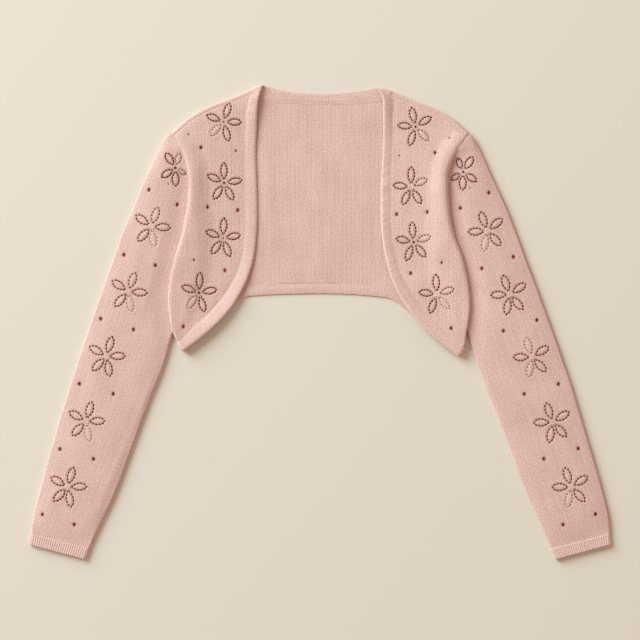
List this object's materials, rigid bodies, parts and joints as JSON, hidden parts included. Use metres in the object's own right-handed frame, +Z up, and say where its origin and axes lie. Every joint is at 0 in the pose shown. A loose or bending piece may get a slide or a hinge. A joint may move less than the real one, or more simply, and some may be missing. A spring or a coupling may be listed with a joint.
{
  "type": "knitted shrug",
  "caption": "Cropped open-front knitted shrug laid flat, with long ribbed-cuff sleeves, rounded fronts and eyelet holes.",
  "frame": {"origin": "on the surface that the shrug lies on, under the middle of its outline", "axes": "+X to the wearer's left, +Y from the hem towards the neck, +Z up through the layers of cloth"},
  "size_m": [0.768, 0.6273, 0.0145],
  "materials": {
    "knit": "fine heathered jersey knit, matt, dusty pink",
    "edging": "fine ribbed knit edging, matt, dusty pink"
  },
  "bodies": {
    "root": {"back_panel": "knit", "front_right": "knit", "front_left": "knit", "sleeve_right_upper": "knit", "sleeve_right_under": "knit", "sleeve_left_upper": "knit", "sleeve_left_under": "knit", "band_right": "edging", "band_left": "edging", "band_neck": "edging", "band_hem": "edging", "cuff_right": "edging", "cuff_left": "edging"}
  },
  "joints": []
}
